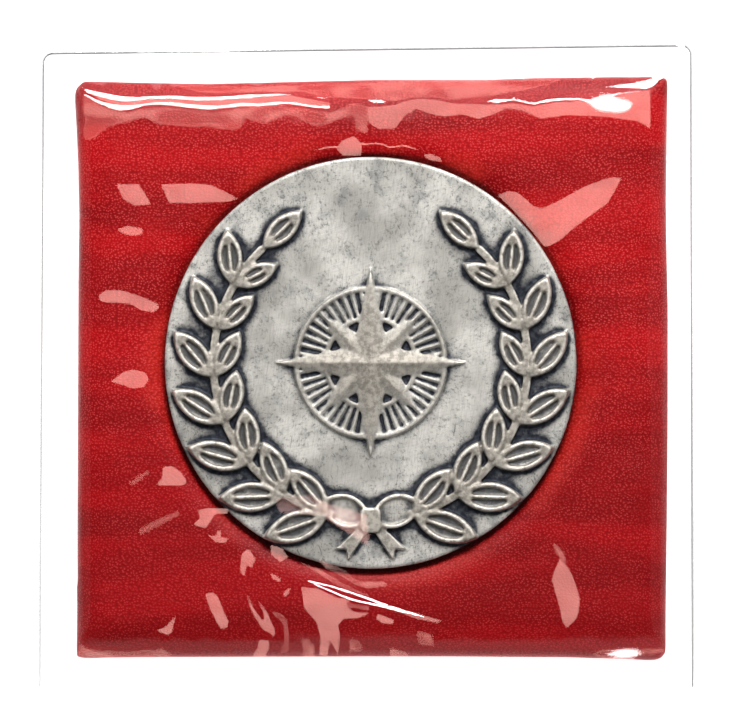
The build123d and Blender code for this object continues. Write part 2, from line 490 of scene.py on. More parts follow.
def copy_of_node(node, name):
    """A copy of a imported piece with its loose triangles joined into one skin."""
    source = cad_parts[node]
    piece = bpy.data.objects.new(name, source.data.copy())
    bpy.context.scene.collection.objects.link(piece)
    choose(piece)
    bpy.ops.object.mode_set(mode="EDIT")
    bpy.ops.mesh.select_all(action="SELECT")
    bpy.ops.mesh.remove_doubles(threshold=0.002 * MM)
    bpy.ops.object.mode_set(mode="OBJECT")
    bpy.ops.object.shade_smooth()
    piece.data.materials.clear()
    return piece


def triangles(piece):
    """How many triangles a piece has, with its larger faces counted as the triangles in them."""
    return sum(len(face.vertices) - 2 for face in piece.data.polygons)


# %% [markdown]
# A struck medal has no sharp corners: the dies round them, and wear and polish round them
# further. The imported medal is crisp, so a copy of it is cast anew in small cells, smoothed
# a little, and then thinned where it is flat. The heights of its face also say where polish
# can't reach, and those places are kept for the finish: how deep a point lies under its
# surroundings, how proud it stands, and how near it is to the foot of a tall form. Big flat
# faces keep their own normals, so that they mirror evenly beside the small ones.

# %% Medal: worn relief
MEDAL_CELL = 0.22
MEDAL_TRIANGLES = 190000
# Levels over the medal's underside, in mm
FACE_FROM = 2.0
RIM_LEVEL = 3.4
UPPER_FROM, UPPER_FADE = 2.6, 0.6
RAISED_FROM, RAISED_FADE = 3.75, 0.7
# How wide the face is averaged for its small and its tall forms, and the depths that count, in mm
NEAR_REACH, WIDE_REACH = 0.45, 1.3
LOW_DEPTH, HALO_DEPTH, PROUD_HEIGHT = 0.45, 0.42, 0.25
# What is kept fine: the dark halo from this share on, and steps of this many mm
HALO_KEPT = 0.06
STEP_KEPT = 0.04

medal = copy_of_node("medal", "struck_medal")
shape_with(medal, "REMESH", mode="VOXEL", voxel_size=MEDAL_CELL * MM, use_smooth_shade=True)
shape_with(medal, "SMOOTH", factor=0.5, iterations=2)
skin = points_of(medal)
face_plan = Plan(0.2, 40.0)
face = skin[skin[:, 2] > medal_floor + FACE_FROM]
heights = face_plan.tops(face[:, 0] - medal_place[0], face[:, 1] - medal_place[1], face[:, 2])
heights = np.where(np.isinf(heights), medal_floor + RIM_LEVEL, heights)
near_mean = blurred(heights, NEAR_REACH / face_plan.cell)
wide_mean = blurred(heights, WIDE_REACH / face_plan.cell)
print("medal cast in", len(skin), "points; face from", heights.min().round(2), "to", heights.max().round(2))


def above_mean(mean, points):
    """How far points stand above the mean level round them, in millimetres."""
    around = face_plan.read(mean, points[:, 0] - medal_place[0], points[:, 1] - medal_place[1])
    return points[:, 2] - around


def under_mean(mean, reach, points):
    """How deep points lie under the mean level round them, from 0 to 1."""
    return np.clip(-above_mean(mean, points) / reach, 0, 1)


def upper_side(points):
    """1 on the medal's face and 0 on its edge and back."""
    return eased((points[:, 2] - medal_floor - UPPER_FROM) / UPPER_FADE)


# %% Medal: thinned where it is flat, and what its points carry
in_halo = under_mean(wide_mean, HALO_DEPTH, skin) > HALO_KEPT
at_step = np.abs(above_mean(near_mean, skin)) > STEP_KEPT
busy = (in_halo | at_step) & (upper_side(skin) > 0.5)
plain = medal.vertex_groups.new(name="plain")
plain.add(np.flatnonzero(~busy).tolist(), 1.0, "REPLACE")
before = triangles(medal)
if before > MEDAL_TRIANGLES:
    shape_with(medal, "DECIMATE", ratio=MEDAL_TRIANGLES / before, vertex_group="plain")
shape_with(medal, "WEIGHTED_NORMAL", mode="FACE_AREA", weight=60)
skin = points_of(medal)
upper = upper_side(skin)
keep_number(medal, "low_spot", under_mean(near_mean, LOW_DEPTH, skin) * upper)
keep_number(medal, "halo", under_mean(wide_mean, HALO_DEPTH, skin) * upper)
keep_number(medal, "proud", np.clip(above_mean(near_mean, skin) / PROUD_HEIGHT, 0, 1) * upper)
keep_number(medal, "raised", eased((skin[:, 2] - medal_floor - RAISED_FROM) / RAISED_FADE))
print("medal", triangles(medal), "of", before, "triangles;", round(100 * busy.mean()), "% kept fine")

# %% [markdown]
# The card is cut from board, topped with foam and covered in red leatherette that is pulled
# round its edges. The copy starts slightly too small and is blown up like a cushion, as
# cloth is, but every point may only move a little: the foam is firm and the pocket holds
# the medal. Cloth settings are made for things the size of furniture, so the card is blown
# up at ten times its size. Long low swells across it come from the way the cover was laid.

# %% Pad: a card swollen by its foam
PAD_CELL = 1.05
START_SMALLER = 0.32
SWELL_LIMIT = 0.5
POCKET_LIMIT = 0.06
# Where the cover is free to swell: past this distance from the medal's middle, and above the board
POCKET_EDGE, POCKET_FADE = 35.6, 3.0
BOARD, BOARD_FADE = 0.3, 1.2
SIMULATION_SCALE = 10.0
SIMULATION_FRAMES = 20

pad_size = ((pad_high.x - pad_low.x) / MM, (pad_high.y - pad_low.y) / MM)
pad_floor = pad_low.z / MM
pad_crown = pad_high.z / MM

pad = copy_of_node("pad", "padded_card")
shape_with(pad, "REMESH", mode="VOXEL", voxel_size=PAD_CELL * MM, use_smooth_shade=True)
shape_with(pad, "SMOOTH", factor=0.5, iterations=4)
start = points_of(pad)
from_medal = np.hypot(start[:, 0] - medal_place[0], start[:, 1] - medal_place[1])
free = eased((from_medal - POCKET_EDGE) / POCKET_FADE) * eased((start[:, 2] - pad_floor - BOARD) / BOARD_FADE)
start = start - read_vertices(pad, "normal") * (START_SMALLER * free)[:, None]
move_points(pad, start)


def swell(piece, pressure, frames):
    """Blows a closed skin up as cloth for some frames and leaves it there."""
    choose(piece)
    scene = bpy.context.scene
    move_points(piece, points_of(piece) * SIMULATION_SCALE)
    cloth = piece.modifiers.new("cloth", "CLOTH")
    cloth.settings.use_pressure = True
    cloth.settings.uniform_pressure_force = pressure
    cloth.settings.effector_weights.gravity = 0
    cloth.settings.tension_stiffness = 12
    cloth.settings.compression_stiffness = 12
    cloth.settings.bending_stiffness = 1.5
    cloth.point_cache.frame_start = 1
    cloth.point_cache.frame_end = frames
    for step in range(1, frames + 1):
        scene.frame_set(step)
    bpy.ops.object.modifier_apply(modifier="cloth")
    scene.frame_set(1)
    move_points(piece, points_of(piece) / SIMULATION_SCALE)


# The card's sides aren't quite straight: places along each side and how far out it is, in mm
PAD_SIDES = {
    "left": ((-45, -49.25), (-10, -49.1), (14, -49.0), (25, -48.85), (34, -49.05), (45, -49.55)),
    "right": ((-47, 50.85), (-36, 51.0), (-12, 51.2), (10, 51.25), (22, 51.0), (28, 50.95), (46, 51.2)),
    "lower": ((-47, -50.0), (-34, -49.85), (0, -49.75), (14, -49.75), (34, -49.9), (48, -50.35)),
    "upper": (
        (-47, 48.05), (-27, 47.65), (-13, 48.0), (1, 48.35),
        (20, 48.35), (28, 48.65), (42, 48.85), (50, 48.8),
    ),
}
# A side's straight part reaches this far from its middle and is measured in short samples, in mm
STRAIGHT_HALF = 47.4
SIDE_SAMPLES = 41
SAMPLE_HALF = 1.3
# How far from the card's middle its points begin to follow the sides, in mm
PULL_FROM, PULL_FADE = 36.0, 10.0
RISE_FROM, RISE_FADE = 30.0, 15.0


def side_line(side, along):
    """Where a side of the card lies, at places along it."""
    places, reaches = zip(*PAD_SIDES[side])
    return np.interp(along, places, reaches)


def upper_edge_rise(x, y):
    """How much further up the card reaches than a square one, in mm."""
    return (side_line("upper", x) - pad_high.y / MM) * eased((y - RISE_FROM) / RISE_FADE)


def pull_to_side(points, side, axis, outward):
    """Moves the points near one side so that the side follows its line."""
    along = np.clip(points[:, 1 - axis] - pad_place[1 - axis], -STRAIGHT_HALF, STRAIGHT_HALF)
    out = outward * (points[:, axis] - pad_place[axis])
    middles = np.linspace(-STRAIGHT_HALF, STRAIGHT_HALF, SIDE_SAMPLES)
    reach = [out[np.abs(along - middle) < SAMPLE_HALF].max() for middle in middles]
    reach = np.interp(along, middles, blurred(np.array([reach]), 1.5)[0])
    wanted = outward * (side_line(side, along + pad_place[1 - axis]) - pad_place[axis])
    points[:, axis] += outward * (wanted - reach) * eased((out - PULL_FROM) / PULL_FADE)


swell(pad, 4.0, SIMULATION_FRAMES)
blown = points_of(pad)
drift = blown - start
far = np.linalg.norm(drift, axis=1)
limit = POCKET_LIMIT + (SWELL_LIMIT - POCKET_LIMIT) * free
share = np.minimum(1.0, limit / np.maximum(far, 1e-6))
move_points(pad, start + drift * share[:, None])
print("pad swelled", far.mean().round(3), "mm on average before the limit")

# %% Pad: long swells and the true lines of its sides
TOP_FROM, TOP_FADE = 1.6, 1.2
SWELL_DROP = 0.05
PAD_PROUD = 0.12

shape_with(pad, "SUBSURF", levels=1, render_levels=1)
pad_plan = Plan(0.5)
swells = 0.11 * pad_plan.waves(60.0, 7.5, 3) + 0.05 * pad_plan.waves(16.0, 5.0, 4)
pad_points = points_of(pad)
on_top = eased((pad_points[:, 2] - pad_crown + TOP_FROM) / TOP_FADE)
pad_points[:, 2] += on_top * (pad_plan.read(swells, pad_points[:, 0], pad_points[:, 1]) - SWELL_DROP)
for side, axis, outward in (("left", 0, -1), ("right", 0, 1), ("lower", 1, -1), ("upper", 1, 1)):
    pull_to_side(pad_points, side, axis, outward)
pad_points[:, 2] = np.clip(pad_points[:, 2], pad_floor - SWELL_DROP, pad_crown + PAD_PROUD)
move_points(pad, pad_points)
pad_levels = pad_points[:, 2]
print("pad", triangles(pad), "triangles, from", pad_levels.min().round(2), "to", pad_levels.max().round(2))

# %% [markdown]
# The sleeve is two sheets of clear soft film. The front one is lifted by the card and lifted
# more by the medal, so it hangs like a low tent, and it is never quite smooth: it keeps the
# waves and the creases of handling. A clear film shows itself only by what it mirrors, so
# the tilt of each wave matters more than its height. The tent comes from the sizes of the
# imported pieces, and the creases are low ridges along lines in the picture.

# %% Sleeve: the lie of the front film
FILM = 0.3
TOUCH = 0.12
WELD = 1.0
WELD_CORNER = 1.5
SHEET_CORNER = 2.4
MOUTH = 0.7
PAD_INSET = 0.6
PAD_CORNER = 1.4
SHOULDER_BLUR = 0.6
TENT_BLUR = 0.35
# Where the film leaves the card: mm past the card's edge, and the film's level there
SHOULDER = ((-60.0, 6.34), (-4.6, 6.34), (-2.4, 6.28), (-0.2, 4.95), (0.7, 4.2))

film_plan = Plan(0.35)
film_x, film_y = film_plan.axes()
pad_points = points_of(pad)
pad_tops = film_plan.tops(pad_points[:, 0], pad_points[:, 1], pad_points[:, 2])
relief_top = medal_high.z / MM

half_width = (sleeve_high.x - sleeve_low.x) / 2 / MM
half_length = (sleeve_high.y - sleeve_low.y) / 2 / MM
film_y_on_pad = film_y - upper_edge_rise(film_x, film_y)
past_pad = past_rectangle(
    film_x, film_y_on_pad, pad_place, pad_size[0] - PAD_INSET, pad_size[1] - PAD_INSET, PAD_CORNER
)
over_pad = np.interp(past_pad, *zip(*SHOULDER))
shoulder_end, shoulder_foot = SHOULDER[-1]
low_weld = -half_length - MOUTH
weld_middle = (0.0, (low_weld + half_length - WELD) / 2)
past_weld = past_rectangle(
    film_x, film_y, weld_middle, 2 * (half_width - WELD), half_length - WELD - low_weld, WELD_CORNER
)
to_pad = np.maximum(past_pad - shoulder_end, 0)
to_weld = np.maximum(-past_weld, 0)
share_down = to_pad / np.maximum(to_pad + to_weld, 1e-6)
rest_level = FILM + 0.02
film_level = np.where(
    past_pad > shoulder_end,
    rest_level + (shoulder_foot - rest_level) * (1 - share_down) ** 1.1,
    over_pad,
)
film_level = blurred(film_level, SHOULDER_BLUR / film_plan.cell)

# %% Sleeve: the front film lifted by the medal
LIFT_START = 34.0
LIFT_REACH = 13.0

from_medal = np.hypot(film_x - medal_place[0], film_y - medal_place[1])
bearing = np.arctan2(film_y - medal_place[1], film_x - medal_place[0])
reach = LIFT_REACH * (1 + 0.12 * np.sin(3 * bearing + 0.6) + 0.08 * np.sin(7 * bearing))
lift = np.clip((LIFT_START + reach - from_medal) / reach, 0, 1)
tent = (relief_top + TOUCH - SHOULDER[0][1]) * lift
film_level = film_level + tent * eased((SHOULDER[2][0] - past_pad) / 3 + 1)
film_level = blurred(film_level, TENT_BLUR / film_plan.cell)
print("film from", film_level.min().round(2), "to", film_level.max().round(2), "mm")

# %% Sleeve: slack and wrinkles
# Ridge points in the picture as column and row, breadth in mm, height in mm
CREASES = (
    (((90, 132), (118, 118), (150, 113), (190, 122)), 0.8, 0.07),
    (((240, 560), (252, 600), (272, 634)), 0.8, 0.10),
    (((130, 484), (150, 470), (176, 462)), 0.7, 0.06),
    (((140, 533), (160, 521), (180, 511)), 0.7, 0.06),
    (((300, 590), (318, 622), (322, 655)), 1.0, 0.12),
    (((352, 596), (340, 626), (336, 655)), 1.0, 0.10),
    (((560, 554), (578, 590), (566, 632)), 1.2, 0.08),
)


def distance_to_line(points):
    """How far each cell of the film is from a chain of points, and how far along it is, 0 to 1."""
    nearest = np.full(film_x.shape, np.inf)
    share = np.zeros(film_x.shape)
    places = [photo_point(*point) for point in points]
    for step, (begin, end) in enumerate(zip(places, places[1:])):
        run, distance = near_segment(film_x, film_y, begin, end)
        share = np.where(distance < nearest, (step + run) / (len(places) - 1), share)
        nearest = np.minimum(nearest, distance)
    return nearest, share


smooth_level = film_level
for points, breadth, height in CREASES:
    distance, share = distance_to_line(points)
    fade = eased(share / 0.2) * eased((1 - share) / 0.2)
    film_level = film_level + height * fade * np.exp(-((distance / breadth) ** 2))
inside = eased((-past_weld - 1.0) / 4.0)
on_card = eased((-past_pad - 2.5) / 5.0)
slack = 0.05 * film_plan.waves(34.0, 12.0, 11) + 0.010 * film_plan.waves(10.0, 5.0, 12)
film_level = film_level + inside * on_card * slack
crimp = 0.05 * film_plan.waves(4.0, 9.0, 13) * inside * (1 - on_card)
film_level = film_level + crimp
print("slack and wrinkles lift the film by up to", (film_level - smooth_level).max().round(2), "mm")

# %% [markdown]
# Soft film that has cooled over a card is full of tiny flats and waves. Each one faces a
# little another way, and where it faces a lamp it lights up as a patch with a sharp edge.
# Real waves that do this are a few hundredths of a millimetre high, too fine for a mesh, so
# the patches are written down as outlines in the picture, each with the light that it
# faces. Some face the pink panel and look salmon over the red, some face the bright box and
# look white, and wide calm veils face a part of the room. Later every point of the film
# learns how deep it lies in a patch of each kind and which way the patch leans, and the
# finish turns its mirror that way.

# %% Sleeve: patches that face a light, outlined in the picture by column and row
# Clear salmon patches
SOFT_PATCHES = (
    ((116, 184), (138, 184), (144, 192), (151, 204.5), (134, 205), (123, 199)),
    ((161, 184.5), (190, 183.5), (211, 185), (226, 192), (238, 198.6), (229, 201.5), (196, 203),
     (169, 203)),
    ((98.5, 295), (107, 290), (122, 290.3), (139, 296), (157, 303.5), (158.6, 308), (153, 312.3),
     (141, 310), (131, 304), (119, 302.8), (104, 302), (99, 300)),
    ((111, 381.3), (123, 372.5), (133.7, 369.5), (145.4, 372.5), (149, 379.8), (144, 387),
     (133.7, 388.6), (122, 385)),
    ((497, 195), (510, 190.5), (518, 192.4), (526, 199.4), (533.6, 206.5), (542.5, 209), (556.5, 202),
     (577, 190.5), (601, 180.3), (612.7, 177), (621.6, 178), (615, 190.5), (607.6, 203.3), (589.7, 216),
     (574.4, 227.5), (561.6, 239), (551.4, 245.4), (544.4, 246.6), (534.8, 235), (522, 219.8), (509, 206)),
    ((560, 559.6), (565.3, 564.2), (571.6, 573.7), (576.8, 587.4), (580, 600), (578.4, 612.6),
     (574.7, 621), (567.9, 627.6), (565.4, 626.8), (561.6, 617.9), (559.5, 605.3), (555.8, 592.6),
     (552, 580), (553.7, 572.6)),
    ((162.8, 467), (171.4, 466), (181, 472), (186.7, 481.7), (183, 485.5), (156, 485.5), (161.8, 478)),
    ((198, 510.4), (207.7, 508), (228.8, 508.4), (227, 514), (215.4, 514), (205.8, 527.6),
     (193.4, 524.7), (200, 518)),
    ((207.7, 534.3), (215.4, 536), (218.3, 529.5), (221, 530.4), (221, 537), (227.8, 539),
     (225, 543), (215.4, 542)),
    ((241.6, 554.4), (247, 549), (250.5, 551), (254.8, 560), (252, 568), (246.5, 564.5),
     (244.6, 576), (240, 572)),
    ((205.8, 594.5), (212.5, 592.6), (217.3, 596.4), (227.8, 621.3), (227, 627), (222, 629),
     (217.3, 623.2), (209.7, 608)),
    ((173.3, 618.4), (176, 615.6), (171.4, 632.8), (167.6, 635), (156, 631), (165.7, 627)),
    ((247.3, 595.3), (248.7, 601.5), (250, 607.9), (253.8, 615.2), (257.8, 620.8), (260.4, 626.4),
     (264.7, 631.1), (270.4, 633.5), (272.8, 637.1), (274.7, 634.5), (275, 630.7), (272.8, 625.4),
     (270.4, 621.6), (268.5, 615.8), (266.9, 612), (263.5, 607.8), (260.2, 602.5), (257.5, 599.2),
     (260.4, 606.3), (263.3, 612), (264.2, 616.8), (264, 619.7), (262.8, 620.6), (260.8, 619),
     (258.2, 615.4), (255.4, 611.2), (252, 605.6), (250.2, 601), (248.6, 596.2)),
    ((259.4, 640.2), (268.5, 640.7), (269, 645), (266.1, 657), (252.2, 657), (257.5, 648.9)),
    ((301.5, 587), (318.7, 589), (338, 598.4), (353, 598.4), (345.5, 604), (353, 611.7), (368.4, 613.7),
     (357, 618.4), (343.6, 618.4), (338, 625), (340, 636.6), (338, 655.8), (330, 640.4), (327.3, 655.8),
     (319.7, 655.8), (320.6, 636.6), (316.8, 623), (304.4, 608)),
    ((271, 545), (282.4, 548.6), (288, 557), (280.4, 562), (271, 554.4)),
    ((271, 573.5), (281.4, 579), (279, 582), (272, 578)),
    ((283.4, 592.5), (287.5, 589.2), (291, 587.6), (289, 593), (286, 597), (283.6, 596.4)),
    ((377, 614.3), (385, 616.4), (394.6, 620), (392.4, 624.6), (382.6, 623.6), (376.8, 619)),
    ((384, 605.6), (398, 608.2), (420, 614.4), (443.4, 621.4), (437, 622.8), (418, 618.8),
     (398, 612), (386, 608)),
    ((336.5, 148), (342, 141), (354, 136), (361.8, 144), (361, 155.6), (342.4, 155.6)),
    ((422.5, 155.6), (430, 153.7), (440, 157.5), (442, 162), (430, 160)),
    ((368, 107), (384, 106), (395, 105), (404, 101.5), (413, 99.5), (424, 98.5), (434, 99.5), (446, 102),
     (456, 104), (470, 103.5), (487, 105), (514, 103), (533, 106.5), (557, 102), (580, 101), (594, 103),
     (600, 97), (606, 95), (622, 93), (640, 91), (650, 90), (650.5, 110), (650.5, 128.5), (643, 123.4),
     (636, 120.4), (623, 119), (610, 117), (594, 115.6), (565, 115), (541, 118.6), (531, 114),
     (522, 110), (506, 108), (494.5, 113.8), (479, 118.6), (461, 113.8), (444, 116.7),
     (434, 114.7), (417, 109), (405, 114.7), (400, 122),
     (395, 128.4), (378, 128.4), (368, 122)),
    ((84, 89), (109, 96), (160, 99), (237, 97), (292, 95.5), (330, 103), (330, 107), (284, 103),
     (239, 103.5), (214, 109), (190, 106.5), (165, 104), (136, 105), (120, 108), (99, 99)),
    ((117.5, 229), (128, 226), (142.5, 229), (141, 234.6), (132, 235.5), (122, 233)),
)
# Paler salmon bands
BAND_PATCHES = (
    ((594.5, 654), (600, 651.6), (607, 650.4), (616, 649.8), (616, 657.4), (606, 657.4), (599, 656)),
    ((176, 85), (220, 87), (300, 85.5), (400, 81.5), (500, 80.5), (560, 79.5), (540, 85), (520, 90),
     (494, 95), (455, 99), (434, 96.5), (412, 96.5), (395, 100), (370, 98), (330, 97), (300, 91),
     (237, 91.5), (210, 92), (190, 89)),
    ((390.6, 649.3), (405.8, 652.4), (409, 657), (390.6, 657)),
    ((272.5, 611.6), (281, 615), (286.4, 622.3), (287.8, 632), (288.2, 651), (281, 652.5), (285.2, 642),
     (285.2, 633), (283.8, 624.2), (279.3, 617.8), (272.5, 613.4)),
    ((320, 560.4), (337.4, 567.9), (351, 577.2), (359.5, 581.5), (384.7, 582.6), (386.4, 585.3),
     (365.8, 587.6), (356.3, 584.8), (342.6, 575.3), (325.8, 567)),
    ((302, 563.2), (318, 569), (326, 573.8), (342.6, 584.4), (368, 595), (368, 596.8), (341, 586.4),
     (324, 576)),
    ((342, 603.4), (368, 606.8), (368, 608.8), (342, 605.6)),
)
# The calm veil along the card's top edge, the calm over the medal, the right corner's side,
# and the band along the mouth
VEILS = (
    ((79, 83), (84, 79), (400, 76), (662, 72), (668, 78), (662, 104), (640, 118), (560, 113), (450, 116),
     (400, 124), (330, 120), (250, 119), (170, 122), (110, 122), (86, 134), (78, 134)),
)
MEDAL_VEILS = (
    ((232, 160), (371, 142), (510, 160), (560, 230), (540, 262), (450, 250), (371, 250), (290, 250),
     (200, 262), (180, 230)),
)
CORNER_VEILS = (
    ((651.5, 90), (656, 85), (660.5, 80), (667, 76), (676, 88), (674, 142), (653, 142)),
)
LOW_VEILS = (
    ((60, 631), (240, 633), (400, 630), (520, 633), (690, 629), (690, 690), (60, 690)),
)
# Faint salmon patches
DIM_PATCHES = (
    ((84, 97), (99, 104), (120.6, 113.5), (140, 110), (167, 108), (190, 111), (214, 113), (239, 109),
     (262, 107), (284, 107), (310, 110.5), (330, 112), (342, 109), (352, 105), (366, 107), (367, 118),
     (366, 132), (357, 128), (356, 113), (342.4, 116.7), (328, 123), (317, 125.4), (307, 120),
     (297.6, 114.7), (284, 113.8), (266.5, 121.6), (245, 118.6), (240, 125), (231.5, 129.3), (208, 126),
     (186.7, 124.5), (161.4, 124.5), (146, 117.7), (134, 118.6), (109, 124.5), (95, 136), (85.6, 138)),
    ((79.6, 645), (86, 649), (98.7, 652), (130, 652.5), (167.6, 653), (167.6, 656.5), (78.5, 656.5)),
    ((276.6, 499), (310, 497), (335, 507), (366, 516), (368, 545), (345, 530), (322, 514), (280, 512)),
    ((130, 483), (148, 471), (149, 473), (131.5, 485)),
    ((139.5, 531), (158, 521), (177, 513), (177, 514.5), (159, 523), (141, 534)),
    ((595, 654), (604, 650.6), (619, 650), (633, 649.5), (641.7, 652.8), (634, 656.3), (606, 656.6)),
    ((555, 545), (562, 553), (567, 562), (563, 561), (557, 552)),
    ((302, 641), (309, 640), (310, 656), (303, 656)),
    ((305.4, 646), (312, 643.6), (313.4, 657), (305.4, 657)),
    ((634, 651), (648, 651.4), (660, 649.2), (662.6, 651), (650, 654.4), (636, 655.4)),
    ((137, 652.8), (161.6, 649.3), (170.4, 654.7), (161.6, 657), (130, 657)),
    ((350, 640), (358, 642), (360, 650), (350, 652)),
    ((418, 633), (432, 636), (434, 645), (420, 644)),
)
# White glare: two broad glows, then the thin streaks
GLOW_PATCHES = (
    ((588, 102), (595, 97), (603, 94), (610, 94.4), (617, 96.4), (625, 98.6), (631.5, 102), (632.5, 107),
     (626.5, 111.4), (617.5, 113.4), (608, 112.4), (598, 110.4), (591, 106)),
    ((605, 653.8), (611, 651.4), (618, 649.6), (625, 648.8), (633, 649), (639, 650.6), (643, 653.2),
     (638.5, 656.6), (630, 658.4), (621, 658.8), (613, 657.8), (608, 656)),
)
BRIGHT_PATCHES = (
    ((81.5, 87), (91, 90.5), (104.8, 92.7), (120.3, 95.8), (137.5, 97), (153, 95.8), (170, 95.3),
     (194.3, 96.7), (215, 96.5), (232, 95.8), (249.4, 94.4), (275.3, 93.7), (296, 94.2), (275.3, 95.4),
     (258, 96.8), (232, 98.8), (215, 100.2), (197.8, 100.4), (170, 98.6), (153, 98.8), (137.5, 100.4),
     (125.4, 101.6), (111.7, 99.8), (97.9, 96.4), (86, 91.6)),
    ((83, 92.6), (97, 99.8), (111, 103.6), (125, 105.4), (137.5, 104.2), (153, 102.2), (170, 101.8),
     (187.4, 103.6), (208, 105.3), (223.6, 105), (240.8, 102.8), (258, 103.4), (275.3, 101.9),
     (287.3, 101.2), (301, 102.9), (314.9, 105.2), (330, 105.4), (330, 108.6), (314.9, 108),
     (301, 105.6), (287.3, 103.6), (275.3, 104.4), (258, 106), (240.8, 105.8), (223.6, 108.2),
     (208, 109.4), (187.4, 107.4), (170, 105), (156.4, 104.4), (146, 105), (137.5, 107.4), (130, 109.8),
     (120.3, 110.4), (108.2, 107.4), (94.4, 101.8), (84.6, 95.4)),
    ((487, 101.4), (494.5, 98.6), (514, 98.2), (533.4, 102.2), (557, 98), (568.9, 97.5), (577.9, 97.3),
     (583.2, 98.4), (589.5, 100), (597, 98.6), (604, 100), (600, 107), (593.9, 104.6), (586.8, 102.4),
     (580, 99.6), (568.9, 100.2), (557, 100.6), (533.4, 104.6), (514, 100.6), (497, 103)),
    ((606, 86.4), (622.5, 84.2), (631.4, 83), (640.4, 81.1), (649.3, 78.9), (654.6, 77.4), (658.4, 77.6),
     (659.8, 79.4), (657.2, 83), (654, 85.6), (651, 87.6), (645.7, 88.8), (638.6, 88.4), (628, 87.6),
     (616, 87.6)),
    ((602, 96.6), (620, 92), (640, 90), (640, 90.8), (622, 93.6), (606, 98.6)),
    ((368, 100), (378, 99.4), (385, 101), (384, 103), (372, 102.6)),
    ((316, 97.3), (327, 97), (327, 98), (317, 98.2)),
)


def depth_in_outline(x, y, outline):
    """How far points lie inside a closed outline, in millimetres; negative outside."""
    places = [photo_point(*corner) for corner in outline]
    nearest = np.full(x.shape, np.inf)
    crossed = np.zeros(x.shape, bool)
    for (ax, ay), (bx, by) in zip(places, places[1:] + places[:1]):
        nearest = np.minimum(nearest, near_segment(x, y, (ax, ay), (bx, by))[1])
        if ay != by:
            crossed ^= ((ay > y) != (by > y)) & (x < ax + (y - ay) * (bx - ax) / (by - ay))
    return np.where(crossed, nearest, -nearest)


def lean_towards(places, light_place):
    """The ways that mirrors at these points must face so that the camera sees a light in them."""
    to_camera = np.array(camera.location) - places * MM
    to_light = np.array(light_place) - places * MM
    to_camera /= np.linalg.norm(to_camera, axis=1)[:, None]
    to_light /= np.linalg.norm(to_light, axis=1)[:, None]
    half_way = to_camera + to_light
    return half_way / np.linalg.norm(half_way, axis=1)[:, None]


# %% Sleeve: what each kind of patch faces
# Parts of the room that a calm film mirrors: its bright back, its front, and the dark above
CALM_PLACE = (-0.283, 0.607, 1.114)
LOW_CALM_PLACE = (0.1, -0.80, 1.1)
DARK_PLACE = (0.0, 0.0, 2.9)
# Light faced, haze, stray and softness of the edge in mm, outlines; later ones lie on top
VEILED = (
    (CALM_PLACE, 0.0, 1.2, 1.6, VEILS),
    (LOW_CALM_PLACE, 0.0, 0.8, 6.5, LOW_VEILS),
    (DARK_PLACE, 0.0, 0.5, 4.0, MEDAL_VEILS),
    (DARK_PLACE, 0.0, 0.05, 0.8, CORNER_VEILS),
)
PINK = (
    (panel.location, 0.78, 0.25, 0.9, DIM_PATCHES),
    (panel.location, 0.82, 0.10, 0.6, BAND_PATCHES),
    (panel.location, 0.25, 0.05, 0.3, SOFT_PATCHES),
)
GLARING = (
    (key.location, 0.0, 0.04, 1.5, GLOW_PATCHES),
    (key.location, 0.0, 0.04, 0.45, BRIGHT_PATCHES),
)
DEEPEST = 20.0
LEAST_HAZE = 0.4
# Over this level the film is the front one
FRONT_FILM_FROM = FILM + 0.5


def patches_on(points, patches):
    """For each point of the film: its depth in a patch over the edge's softness, the haze and the lean."""
    depth = np.full(len(points), -DEEPEST)
    haze = np.zeros(len(points))
    lean = lean_towards(points, patches[0][0])
    ripple = film_plan.read(film_plan.waves(2.0, 1.5, 21), points[:, 0], points[:, 1])
    cloud = eased(0.5 + film_plan.read(film_plan.waves(3.4, 2.0, 22), points[:, 0], points[:, 1]))
    for light_place, dullness, stray, softness, outlines in patches:
        for outline in outlines:
            here = (depth_in_outline(points[:, 0], points[:, 1], outline) + stray * ripple) / softness
            over = (here > 0) | (here > depth)
            lean[over] = lean_towards(points[over], light_place)
            haze[over] = dullness * (LEAST_HAZE + 0.6 * cloud[over])
            depth = np.maximum(depth, here)
    return np.where(points[:, 2] > FRONT_FILM_FROM, depth, -DEEPEST), haze, lean


# %% [markdown]
# The front film is a fine grid, bent to those heights and given its thickness. Only its
# upper side needs the fine grid, so its underside is thinned. The back film is a plain flat
# sheet, and the welded rim is a narrow flat band round three sides, with a rounded bead
# where the hot tool pressed the sheets together. The lower edge has no band: it is the mouth.

# %% Sleeve: front film
FILM_GRID = 0.46
FILM_TRIANGLES = 192000
# Where the grid is closer, as low and high in mm and how many times: for the streaks along
# the top, and for the small patches at the lower left
CLOSER_ROWS = ((42.0, 48.6, 2.8), (-49.9, -48.0, 2.2), (-49.5, -20.0, 1.4))
CLOSER_COLUMNS = ((-44.0, 0.0, 1.4), (40.0, 49.0, 1.5))
# How far the card's bumps may push the film up, in mm
BUMP_LIMIT = 0.4
inner_half = half_width - WELD
grid_low = -half_length
grid_high = half_length - WELD


def crowded_lines(low, high, closer):
    """Where the grid's lines lie: a count of lines below each place, for np.interp."""
    line = np.linspace(low, high, 2000)
    crowding = np.ones(len(line))
    for start, end, times in closer:
        crowding = crowding + (times - 1) * eased(line - start + 1) * eased(end + 1 - line)
    steps = (crowding[1:] + crowding[:-1]) / 2 * np.diff(line) / FILM_GRID
    return line, np.concatenate(([0], np.cumsum(steps)))


column_line, columns_below = crowded_lines(-inner_half, inner_half, CLOSER_COLUMNS)
row_line, rows_below = crowded_lines(grid_low, grid_high, CLOSER_ROWS)
columns = int(columns_below[-1])
rows = int(rows_below[-1])
print("front film:", columns, "by", rows, "cells")

